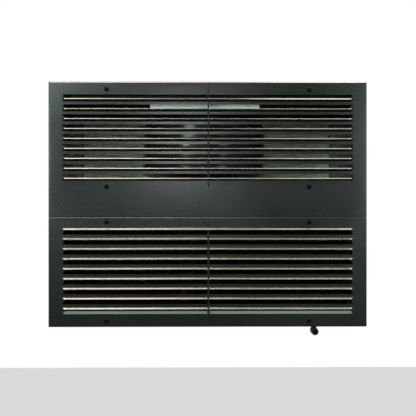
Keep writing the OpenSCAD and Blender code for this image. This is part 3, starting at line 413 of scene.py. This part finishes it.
def fan_rotor(node, name, axis_z, turned_round):
    """A moulded fan: hub with a rounded nose, shaft and five twisted blades."""
    low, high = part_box(node)
    shaft_r = 0.004
    shaft_end = 0.058
    boss_r = 0.009
    boss_end = 0.0285
    hub_r = 0.030
    hub_end = 0.026
    pieces = [turned([(shaft_r, 0.0008), (hub_r - 0.006, 0.0020), (hub_r - 0.0015, 0.0045),
                      (hub_r, 0.0085), (hub_r, 0.0255), (hub_r - 0.001, hub_end),
                      (boss_r, hub_end), (boss_r, boss_end), (shaft_r, boss_end),
                      (shaft_r, shaft_end)], facing_back=True)]
    blades = 5
    rows = 8
    root = hub_r * 0.93
    tip_r = 0.107
    span = tip_r - root
    blade_y = 0.0125
    root_chord = 0.034
    chord_gain = 0.030
    tip_trim = 0.016
    trim_from_share = 0.8
    tip_sweep = 0.012
    root_pitch = -34
    pitch_gain = 16
    for index in range(blades):
        bpy.ops.object.select_all(action="DESELECT")
        bpy.ops.mesh.primitive_grid_add(x_subdivisions=8, y_subdivisions=rows, size=1,
                                        rotation=(math.pi / 2, 0, 0))
        blade = bpy.context.object
        blade.scale = (1, span, 1)
        blade.location = (0, blade_y, root + span / 2)
        settle(blade)
        for row in range(rows + 1):
            share = row / rows
            height = root + span * share
            trimmed = max(0, share - trim_from_share) / (1 - trim_from_share)
            chord = root_chord + chord_gain * share - tip_trim * trimmed
            pick(blade, "VERT", lambda v: abs(v.z - height) < 0.0005)
            bpy.ops.transform.resize(value=(chord, 1, 1), center_override=(0, blade_y, height))
            pitch = math.radians(root_pitch + pitch_gain * share)
            bpy.ops.transform.rotate(value=pitch, orient_axis="Z",
                                     center_override=(0, blade_y, height))
            bpy.ops.transform.translate(value=(tip_sweep * share * share, 0, 0))
            bpy.ops.object.mode_set(mode="OBJECT")
        modify(blade, "SOLIDIFY", thickness=0.0022, offset=0)
        modify(blade, "BEVEL", width=0.0008, segments=2, limit_method="ANGLE",
               angle_limit=math.radians(60))
        blade.rotation_euler = (0, math.radians(360 / blades * index), 0)
        settle(blade)
        start(blade)
        bpy.ops.object.shade_smooth_by_angle(angle=round_angle)
        pieces.append(blade)
    rotor = joined(pieces)
    rotor.location = ((low.x + high.x) / 2, high.y if turned_round else low.y, axis_z)
    rotor.rotation_euler = (0, 0, math.pi if turned_round else 0)
    settle(rotor)
    shown(rotor, name, plastic, node + "_rotor", [node])


dressed("fan_shroud", plastic, edge=0.0004)
motor_low, motor_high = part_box("left_condenser_motor")
for side in ("left", "right"):
    dressed(side + "_condenser_motor", motor_steel, edge=0.0006)
    fan_rotor(side + "_condenser_fan", side + "_condenser_rotor",
              (motor_low.z + motor_high.z) / 2, False)

# Electrical box: a folded zinc-coated box with its lid, fixed to the bulkhead.
# It holds the contactor, the run capacitor in its drawn can, and a pale terminal block.
dressed("electrical_box", zinc_sheet, edge=0.0003)
dressed("contactor", plastic, edge=0.0008)
can = Finish("capacitor can", Metallic=1.0)
brushed = can.add("ShaderNodeMapping", {"vector_type": "TEXTURE"},
                  {0: can.place, "Scale": (1, 1, 0.02)})
can.feed(Base_Color=can.blend(can.noise(0.01, 3.0), (0.62, 0.63, 0.64, 1), (0.75, 0.76, 0.77, 1)),
         Roughness=can.noise(0.02, 3.0) * 0.15 + 0.22,
         Normal=can.bump(can.noise(0.0012, 2.0, 0.5, brushed), 0.00003, 0.4))
dressed("run_capacitor", can, edge=0.0012)
pale = Finish("pale plastic", Specular_IOR_Level=0.45)
yellowing = pale.between(pale.noise(0.03, 3.0), 0.35, 0.7)
pale.feed(Base_Color=pale.blend(yellowing, (0.70, 0.69, 0.63, 1), (0.60, 0.57, 0.48, 1)),
          Roughness=yellowing * 0.12 + 0.4, Normal=pale.bump(pale.noise(0.001, 2.0), 0.00005, 0.4))
dressed("terminal_block", pale, edge=0.0006)
dressed("electrical_box_lid", zinc_sheet, edge=0.0003)

# Refrigerant lines, filter drier and expansion valve.
# The suction line wears black foam rubber, the others are bare copper.
copper = Finish("copper tube", Metallic=1.0)
tarnish = copper.between(copper.noise(0.035, 5.0, 0.65), 0.42, 0.72)
copper.feed(Base_Color=copper.blend(tarnish, (0.78, 0.40, 0.26, 1), (0.33, 0.17, 0.10, 1)),
            Roughness=tarnish * 0.25 + copper.noise(0.004, 3.0) * 0.12 + 0.2,
            Normal=copper.bump(copper.noise(0.0014, 3.0), 0.00004, 0.4))
dressed("discharge_line", copper, edge=0)
dressed("liquid_line", copper, edge=0)
dressed("feed_line", copper, edge=0)
dressed("suction_line", rubber, edge=0)
drier_coat = powder_coat("drier paint", (0.020, 0.055, 0.20, 1), (0.030, 0.075, 0.25, 1),
                         rough=0.3, peel=0.00006, Specular_IOR_Level=0.5)
dressed("filter_drier", drier_coat, edge=0.0012)
brass = Finish("brass", Metallic=1.0)
patina = brass.between(brass.noise(0.012, 4.0), 0.4, 0.75)
brass.feed(Base_Color=brass.blend(patina, (0.80, 0.62, 0.32, 1), (0.45, 0.33, 0.16, 1)),
           Roughness=patina * 0.2 + 0.22, Normal=brass.bump(brass.noise(0.0015, 2.0), 0.00004, 0.4))
dressed("expansion_valve", brass, edge=0.0008)

# Insulated plug through the cold-room wall, with the flange and gasket that close the opening.
# The plug's pale steel skin is lightly oil-canned, and the gasket is cellular rubber.
plug_skin = powder_coat("plug skin", (0.62, 0.65, 0.63, 1), (0.68, 0.71, 0.69, 1),
                        rough=0.38, peel=0.00008, Specular_IOR_Level=0.45)
plug_waves = plug_skin.noise(0.12, 1.0) + plug_skin.noise(0.0016, 3.0) * 0.01
plug_skin.feed(Normal=plug_skin.bump(plug_waves, 0.0012, 0.5))
dressed("insulated_plug", plug_skin, edge=0.001)
dressed("wall_flange", zinc_sheet, edge=0.0005)
foam_rubber = Finish("cellular rubber", Specular_IOR_Level=0.25)
pores = foam_rubber.cells(0.0016)
foam_rubber.feed(
    Base_Color=foam_rubber.blend(pores, (0.008, 0.008, 0.008, 1), (0.030, 0.030, 0.029, 1)),
    Roughness=pores * 0.1 + 0.78, Normal=foam_rubber.bump(pores, 0.0003, 0.6))
dressed("wall_gasket", foam_rubber, edge=0.0008)

# Cold side: bare aluminium fins four millimetres apart on copper hairpins, over a drip tray.
# Two fans move the air, and a white coated steel cover closes it all in.
white_coat = powder_coat("white coat", (0.74, 0.76, 0.755, 1), (0.78, 0.80, 0.795, 1),
                         rough=0.34, peel=0.0001, Specular_IOR_Level=0.45)
dressed("drip_tray", white_coat, edge=0.0003)
fin_bare = Finish("bare aluminium fin", Metallic=0.9)
haze = fin_bare.between(fin_bare.noise(0.04, 4.0), 0.35, 0.75)
fin_bare.feed(Base_Color=fin_bare.blend(haze, (0.80, 0.82, 0.83, 1), (0.64, 0.66, 0.67, 1)),
              Roughness=haze * 0.2 + 0.28,
              Normal=fin_bare.bump(fin_bare.noise(0.0015, 2.0), 0.00004, 0.4))
fin_pack("evaporator_fins", "evaporator_fin_pack", fin_bare, gap=0.004)
dressed("evaporator_tubes", copper, edge=0)
dressed("evaporator_end_plates", zinc_sheet, edge=0.0003)
dressed("evaporator_fan_plate", white_coat, edge=0.0004)
motor_low, motor_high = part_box("left_evaporator_motor")
for side in ("left", "right"):
    dressed(side + "_evaporator_motor", motor_steel, edge=0.0006)
    fan_rotor(side + "_evaporator_fan", side + "_evaporator_rotor",
              (motor_low.z + motor_high.z) / 2, True)
dressed("evaporator_cover", white_coat, edge=0.0004)

# Fan guards: five hoops of round wire welded on four spokes, and dipped in black.
# One stands in front of each cold-side fan.
guard_coat = powder_coat("guard coat", (0.012, 0.012, 0.012, 1), (0.020, 0.020, 0.020, 1),
                         rough=0.34, peel=0.00003, Specular_IOR_Level=0.5)
guard_low, guard_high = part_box("evaporator_fan_guards")
wire_r = (guard_high.y - guard_low.y) / 2
guard_y = (guard_high.y + guard_low.y) / 2
guard_r = (guard_high.z - guard_low.z) / 2 - wire_r
guard_z = (guard_high.z + guard_low.z) / 2
inner_r = 0.030
hoops = 5
spokes = 4
for side, guard_x in (("left", guard_low.x + guard_r + wire_r),
                      ("right", guard_high.x - guard_r - wire_r)):
    wires = []
    for hoop in range(hoops):
        bpy.ops.object.select_all(action="DESELECT")
        bpy.ops.mesh.primitive_torus_add(
            major_radius=inner_r + (guard_r - inner_r) * hoop / (hoops - 1), minor_radius=wire_r,
            major_segments=96, minor_segments=10, location=(guard_x, guard_y, guard_z),
            rotation=(math.pi / 2, 0, 0))
        settle(bpy.context.object)
        wires.append(bpy.context.object)
    for spoke in range(spokes):
        angle = math.radians(360 / spokes * (spoke + 0.5))
        middle = (inner_r + guard_r) / 2
        bpy.ops.object.select_all(action="DESELECT")
        bpy.ops.mesh.primitive_cylinder_add(
            vertices=12, radius=wire_r, depth=guard_r - inner_r,
            location=(guard_x + middle * math.sin(angle), guard_y, guard_z + middle * math.cos(angle)),
            rotation=(0, angle, 0))
        settle(bpy.context.object)
        wires.append(bpy.context.object)
    guard = joined(wires)
    bpy.ops.object.shade_smooth_by_angle(angle=round_angle)
    shown(guard, side + "_fan_guard", guard_coat,
          stands_for=["evaporator_fan_guards"])

# Drain: a pale plastic pipe from the drip tray into the pan, through the plug.
# The black moulded spout hangs under the pan's front, held by its nut, and takes a hose.
dressed("drain_pipe", pale, edge=0)
dressed("drain_spout", plastic, edge=0.0005)

# Outer case: side panels and top cover of folded steel, in the same coat as the front.
# The cover has a dark foam liner, screws hold it all, and a gland sits on the right side.
panel_coat = powder_coat("panel coat", (0.0030, 0.0052, 0.0038, 1), (0.0044, 0.0068, 0.0054, 1),
                         rough=0.235, peel=0.00003)
foam = Finish("acoustic foam", Specular_IOR_Level=0.15)
bubbles = foam.cells(0.0028)
soot = foam.between(foam.noise(0.05, 4.0), 0.3, 0.75)
foam.feed(Base_Color=foam.blend(bubbles * 0.6 + soot * 0.4, (0.016, 0.015, 0.010, 1),
                                (0.050, 0.048, 0.034, 1)),
          Roughness=soot * 0.08 + 0.9, Normal=foam.bump(bubbles, 0.001, 0.7))
dressed("left_side_panel", panel_coat, edge=0.0004)
dressed("right_side_panel", panel_coat, edge=0.0004)
dressed("top_liner", foam, edge=0.0015)
dressed("top_cover", panel_coat, edge=0.0004)
dressed("cable_gland", plastic, edge=0.0005)
screw_black = Finish("black oxide", Specular_IOR_Level=0.05)
oxide = screw_black.between(screw_black.noise(0.004, 3.0), 0.3, 0.7)
screw_black.feed(Base_Color=screw_black.blend(oxide, (0.002, 0.002, 0.002, 1),
                                              (0.005, 0.005, 0.005, 1)),
                 Roughness=oxide * 0.1 + 0.55,
                 Normal=screw_black.bump(screw_black.noise(0.0006, 2.0), 0.00003, 0.4))
dressed("case_screws", screw_black, edge=0.0003)

# Cable clip screws: two small black heads side by side on the bulkhead.
# They show through the upper grille, towards its right end.
clip_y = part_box("bulkhead")[0].y
clip_x = 0.242
clip_z = 0.396
clip_spacing = 0.0044
clip_head_r = 0.0015
clip_head_h = 0.0016
clip_screws = []
for offset in (-clip_spacing / 2, clip_spacing / 2):
    bpy.ops.object.select_all(action="DESELECT")
    bpy.ops.mesh.primitive_cylinder_add(
        vertices=20, radius=clip_head_r, depth=clip_head_h,
        location=(clip_x + offset, clip_y - clip_head_h / 2, clip_z), rotation=(math.pi / 2, 0, 0))
    settle(bpy.context.object)
    clip_screws.append(bpy.context.object)
shown(joined(clip_screws), "cable_clip_screws", screw_black)

# Front panels: each pressed from one sheet, with nine rows of closed-ended louvre hoods.
# The upper hoods stand up and out from the foot of their slots, the lower ones hang down and out.
panel_t = 0.002
front_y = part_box("right_post")[0].y - panel_t
louvre_rows = 9
louvre_pitch = 0.020
slot_half = 0.293
slot_height = 0.0146
hood_rise = 0.0046
hood_slant = 0.004
rim_r = 0.004
seam_r = 0.0012
stay_x = 0.0008
stay_cut_w = 0.0033
mortise_depth = 0.01
cut_overrun = 0.004
screw_x = 0.2043
screw_hole_r = 0.0027


def pressed_panel(node, name, sheet_t, grille_top, hoods_up, hood_out, bend_shares, screw_heights,
                  slit, mortises):
    """A louvred panel, drawn as its outer face and then given its thickness inwards.

    A bend share is how far out and how far up the hood has got at that bend. The slit for the
    comb bar is (lowest, highest, depth), and a mortise at its ends is (lowest, highest).
    """
    low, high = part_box(node)
    feet = [grille_top - slot_height - louvre_pitch * row for row in range(louvre_rows)]
    bpy.ops.object.select_all(action="DESELECT")
    bpy.ops.mesh.primitive_plane_add(size=1, rotation=(math.pi / 2, 0, 0))
    panel = bpy.context.object
    panel.scale = (high.x - low.x, high.z - low.z, 1)
    panel.location = (0, front_y, (low.z + high.z) / 2)
    settle(panel)
    bpy.ops.object.mode_set(mode="EDIT")
    for foot in feet:
        for z in (foot, foot + slot_height):
            bpy.ops.mesh.select_all(action="SELECT")
            bpy.ops.mesh.bisect(plane_co=(0, front_y, z), plane_no=(0, 0, 1))
    for x in (-slot_half, slot_half):
        bpy.ops.mesh.select_all(action="SELECT")
        bpy.ops.mesh.bisect(plane_co=(x, front_y, 0), plane_no=(1, 0, 0))
    bpy.ops.object.mode_set(mode="OBJECT")

    def near(a, b):
        return abs(a - b) < 0.00001

    pick(panel, "FACE", lambda c: abs(c.x) < slot_half and any(
        foot < c.z < foot + slot_height for foot in feet))
    bpy.ops.mesh.delete(type="FACE")
    roots = feet if hoods_up else [foot + slot_height for foot in feet]
    rise = hood_rise if hoods_up else -hood_rise
    bpy.ops.object.mode_set(mode="OBJECT")
    pick(panel, "EDGE", lambda a, b: near(a.z, b.z) and near(abs(a.x), slot_half)
         and near(abs(b.x), slot_half) and any(near(a.z, root) for root in roots))
    past = (0, 0)
    for out_share, rise_share in bend_shares:
        step = (0, (past[0] - out_share) * hood_out, (rise_share - past[1]) * rise)
        bpy.ops.mesh.extrude_edges_move(TRANSFORM_OT_translate={"value": step})
        narrowed = (slot_half - hood_slant * out_share) / (slot_half - hood_slant * past[0])
        bpy.ops.transform.resize(value=(narrowed, 1, 1), center_override=(0, 0, 0))
        past = (out_share, rise_share)
    bpy.ops.object.mode_set(mode="OBJECT")
    for foot, root in zip(feet, roots):
        far = foot + slot_height if hoods_up else foot
        for side in (-1, 1):
            corners = [Vector((side * slot_half, front_y, root)),
                       Vector((side * slot_half, front_y, far))]
            corners += [Vector((side * (slot_half - hood_slant * out_share),
                                front_y - hood_out * out_share, root + rise * rise_share))
                        for out_share, rise_share in bend_shares]
            pick(panel, "VERT", lambda v: any((v - c).length < 0.00002 for c in corners))
            bpy.ops.mesh.edge_face_add()
            bpy.ops.object.mode_set(mode="OBJECT")
    end_z = high.z if hoods_up else low.z
    pick(panel, "EDGE", lambda a, b: near(a.y, front_y) and near(b.y, front_y) and (
        (near(abs(a.x), high.x) and near(a.x, b.x)) or (near(a.z, end_z) and near(b.z, end_z))))
    bpy.ops.mesh.extrude_edges_move(TRANSFORM_OT_translate={"value": (0, high.y - front_y, 0)})
    bpy.ops.mesh.select_all(action="SELECT")
    bpy.ops.mesh.normals_make_consistent(inside=False)
    bpy.ops.object.mode_set(mode="OBJECT")
    band = max(panel.data.polygons, key=lambda face: face.area)
    if band.normal.y > 0:
        bpy.ops.object.mode_set(mode="EDIT")
        bpy.ops.mesh.flip_normals()
        bpy.ops.object.mode_set(mode="OBJECT")
    pick(panel, "EDGE", lambda a, b: near(a.y, front_y) and near(b.y, front_y) and (
        (near(abs(a.x), high.x) and near(a.x, b.x)) or (near(a.z, end_z) and near(b.z, end_z))))
    bpy.ops.mesh.bevel(offset=rim_r, segments=5, affect="EDGES")
    bpy.ops.object.mode_set(mode="OBJECT")
    modify(panel, "SOLIDIFY", thickness=sheet_t, offset=-1, use_even_offset=True)
    seam_z = low.z if hoods_up else high.z
    pick(panel, "EDGE", lambda a, b: near(a.y, front_y) and near(b.y, front_y)
         and near(a.z, seam_z) and near(b.z, seam_z))
    bpy.ops.mesh.bevel(offset=seam_r, segments=3, affect="EDGES")
    bpy.ops.object.mode_set(mode="OBJECT")

    tools = []
    for lowest, highest, depth in [slit] + [(*mortise, mortise_depth) for mortise in mortises]:
        bpy.ops.object.select_all(action="DESELECT")
        bpy.ops.mesh.primitive_cube_add(size=1)
        tool = bpy.context.object
        tool.scale = (stay_cut_w, depth + cut_overrun, highest - lowest)
        tool.location = (stay_x, front_y + (cut_overrun - depth) / 2, (lowest + highest) / 2)
        settle(tool)
        tools.append(tool)
    for x in (-screw_x, screw_x):
        for z in screw_heights:
            bpy.ops.object.select_all(action="DESELECT")
            bpy.ops.mesh.primitive_cylinder_add(vertices=24, radius=screw_hole_r, depth=0.02,
                                                location=(x, front_y, z),
                                                rotation=(math.pi / 2, 0, 0))
            settle(bpy.context.object)
            tools.append(bpy.context.object)
    for tool in tools:
        modify(panel, "BOOLEAN", operation="DIFFERENCE", solver="EXACT", object=tool)
    for tool in tools:
        bpy.data.objects.remove(tool)
    modify(panel, "BEVEL", width=0.0002, segments=2, limit_method="ANGLE",
           angle_limit=math.radians(35))
    smoothed(panel)
    shown(panel, name, panel_coat, stands_for=[node])


pressed_panel("upper_front_panel", "upper_louvred_panel", sheet_t=0.0017, grille_top=0.4694,
              hoods_up=True, hood_out=0.006, bend_shares=[(0.42, 0.64), (1, 1)],
              screw_heights=(0.480, 0.283), slit=(0.2948, 0.4694, 0.00365),
              mortises=[(0.28215, 0.29245), (0.47175, 0.48205)])
pressed_panel("lower_front_panel", "lower_louvred_panel", sheet_t=panel_t, grille_top=0.2012,
              hoods_up=False, hood_out=0.003, bend_shares=[(0.07, 0.42), (0.45, 0.70), (1, 1)],
              screw_heights=(0.2125, 0.0135), slit=(0.0266, 0.1946, 0.00265),
              mortises=[(0.01395, 0.02425), (0.20355, 0.21385)])

# Comb bars: a thin steel bar stands upright in the middle of each grille and stiffens it.
# Eight black button-head screws hold the two panels to the posts and rail.
# The bars wear the frame coat darkened several times over: painted shade, so that they look dark
# although the front lamps light them.
shaded_stay_coat = powder_coat("stay coat with painted shade", (0.004, 0.005, 0.005, 1), (0.007, 0.008, 0.008, 1),
                        rough=0.55, peel=0.00008, Specular_IOR_Level=0.2)
dressed("upper_louvre_stay", shaded_stay_coat, edge=0.0003)
dressed("lower_louvre_stay", shaded_stay_coat, edge=0.0003)
dressed("front_panel_screws", screw_black, edge=0.0003)

# Camera: square on to the louvred front and 1.27 m away, a touch to the left.
# The picture's 416 pixels span 0.84 m at the face of the front panels.
camera_distance = 1.267
camera_height = 0.2405
camera_yaw = math.radians(0.56)
picture_span = 0.8395
film_width = 36
camera_data = bpy.data.cameras.new("camera")
camera_data.sensor_width = film_width
camera_data.lens = film_width * camera_distance / picture_span
camera = bpy.data.objects.new("camera", camera_data)
camera.location = (-camera_distance * math.sin(camera_yaw),
                   front_y - camera_distance * math.cos(camera_yaw), camera_height)
camera.rotation_euler = (math.pi / 2, 0, -camera_yaw)
scene.collection.objects.link(camera)
scene.camera = camera

# Studio: a pale floor well below the wall-hung unit, and soft boxes above it and in front.
# The world is white where the camera looks, and where metal mirrors what is behind the unit.
scene.view_settings.view_transform = "Standard"
bpy.ops.object.select_all(action="DESELECT")
bpy.ops.mesh.primitive_plane_add(size=1, location=(0, -0.9, -3))
floor = bpy.context.object
floor.name = "floor"
floor.scale = (24, 24, 1)
settle(floor)
floor_paint = Finish("floor paint", Roughness=0.8, Emission_Strength=0.55)
floor_paint.feed(Base_Color=floor_paint.blend(floor_paint.noise(0.5, 2.0), (0.74, 0.74, 0.73, 1),
                                              (0.78, 0.78, 0.77, 1)),
                 Emission_Color=floor_paint.add("ShaderNodeLightPath", {}, {}, "Is Camera Ray"))
floor.data.materials.append(floor_paint.material)


def soft_box(name, place, target, size, watts, tint, spread=180):
    """A rectangular lamp that looks at a point; a grid on its front narrows its spread."""
    data = bpy.data.lights.new(name, "AREA")
    data.shape = "RECTANGLE"
    data.size, data.size_y = size
    data.energy = watts
    data.color = tint
    data.spread = math.radians(spread)
    lamp = bpy.data.objects.new(name, data)
    lamp.location = place
    lamp.rotation_euler = (Vector(target) - Vector(place)).to_track_quat("-Z", "Y").to_euler()
    scene.collection.objects.link(lamp)


soft_box("overhead_left", place=(-0.42, -0.80, 1.75), target=(-0.2, -0.46, 0.2), size=(1.1, 0.7),
         watts=9.5, tint=(1.0, 0.90, 0.72), spread=55)
soft_box("overhead_right", place=(0.52, -0.42, 1.80), target=(0.25, -0.46, 0.1), size=(1.2, 0.6),
         watts=6.5, tint=(1.0, 0.90, 0.68), spread=55)
soft_box("key", place=(-0.13, -2.60, 0.60), target=(0, -0.2, 0.3), size=(0.28, 0.28),
         watts=4.2, tint=(0.94, 1.0, 0.98))
soft_box("corner", place=(-1.1, -2.40, 1.35), target=(-0.2, -0.4, 0.4), size=(0.8, 0.7),
         watts=15, tint=(0.78, 1.0, 0.95))
soft_box("side_left", place=(-1.5, -2.6, 0.65), target=(0, -0.3, 0.3), size=(0.5, 0.8),
         watts=26, tint=(0.88, 1.0, 0.96))
soft_box("side_right", place=(1.5, -2.6, 0.55), target=(0, -0.3, 0.3), size=(0.5, 0.8),
         watts=20, tint=(0.92, 1.0, 0.98))
world = bpy.data.worlds.new("studio")
world.use_nodes = True
scene.world = world
tree = world.node_tree
tree.nodes.clear()


def world_part(kind, settings, sockets):
    """A node of the world with its settings, and the values or outputs its sockets take."""
    node = tree.nodes.new(kind)
    for key, value in settings.items():
        setattr(node, key, value)
    for key, value in sockets.items():
        if isinstance(value, bpy.types.NodeSocket):
            tree.links.new(value, node.inputs[key])
        else:
            node.inputs[key].default_value = value
    return node


look = world_part("ShaderNodeLightPath", {}, {}).outputs
ray = world_part("ShaderNodeTexCoord", {}, {}).outputs["Generated"]
ray_y = world_part("ShaderNodeSeparateXYZ", {}, {0: ray}).outputs["Y"]
behind = world_part("ShaderNodeMapRange", {}, {"Value": ray_y, "From Min": -0.25, "From Max": 0.15})
mirrored = world_part("ShaderNodeMath", {"operation": "MAXIMUM"},
                      {0: look["Is Glossy Ray"], 1: look["Is Transmission Ray"]})
backdrop = world_part("ShaderNodeMath", {"operation": "MULTIPLY"},
                      {0: mirrored.outputs[0], 1: behind.outputs[0]})
white = world_part("ShaderNodeMath", {"operation": "MAXIMUM"},
                   {0: look["Is Camera Ray"], 1: backdrop.outputs[0]})
sky = world_part("ShaderNodeMix", {"data_type": "RGBA"},
                 {0: white.outputs[0], 6: (0.14, 0.155, 0.148, 1), 7: (1, 1, 1, 1)})
background = world_part("ShaderNodeBackground", {}, {"Color": sky.outputs[2]})
world_part("ShaderNodeOutputWorld", {}, {0: background.outputs[0]})
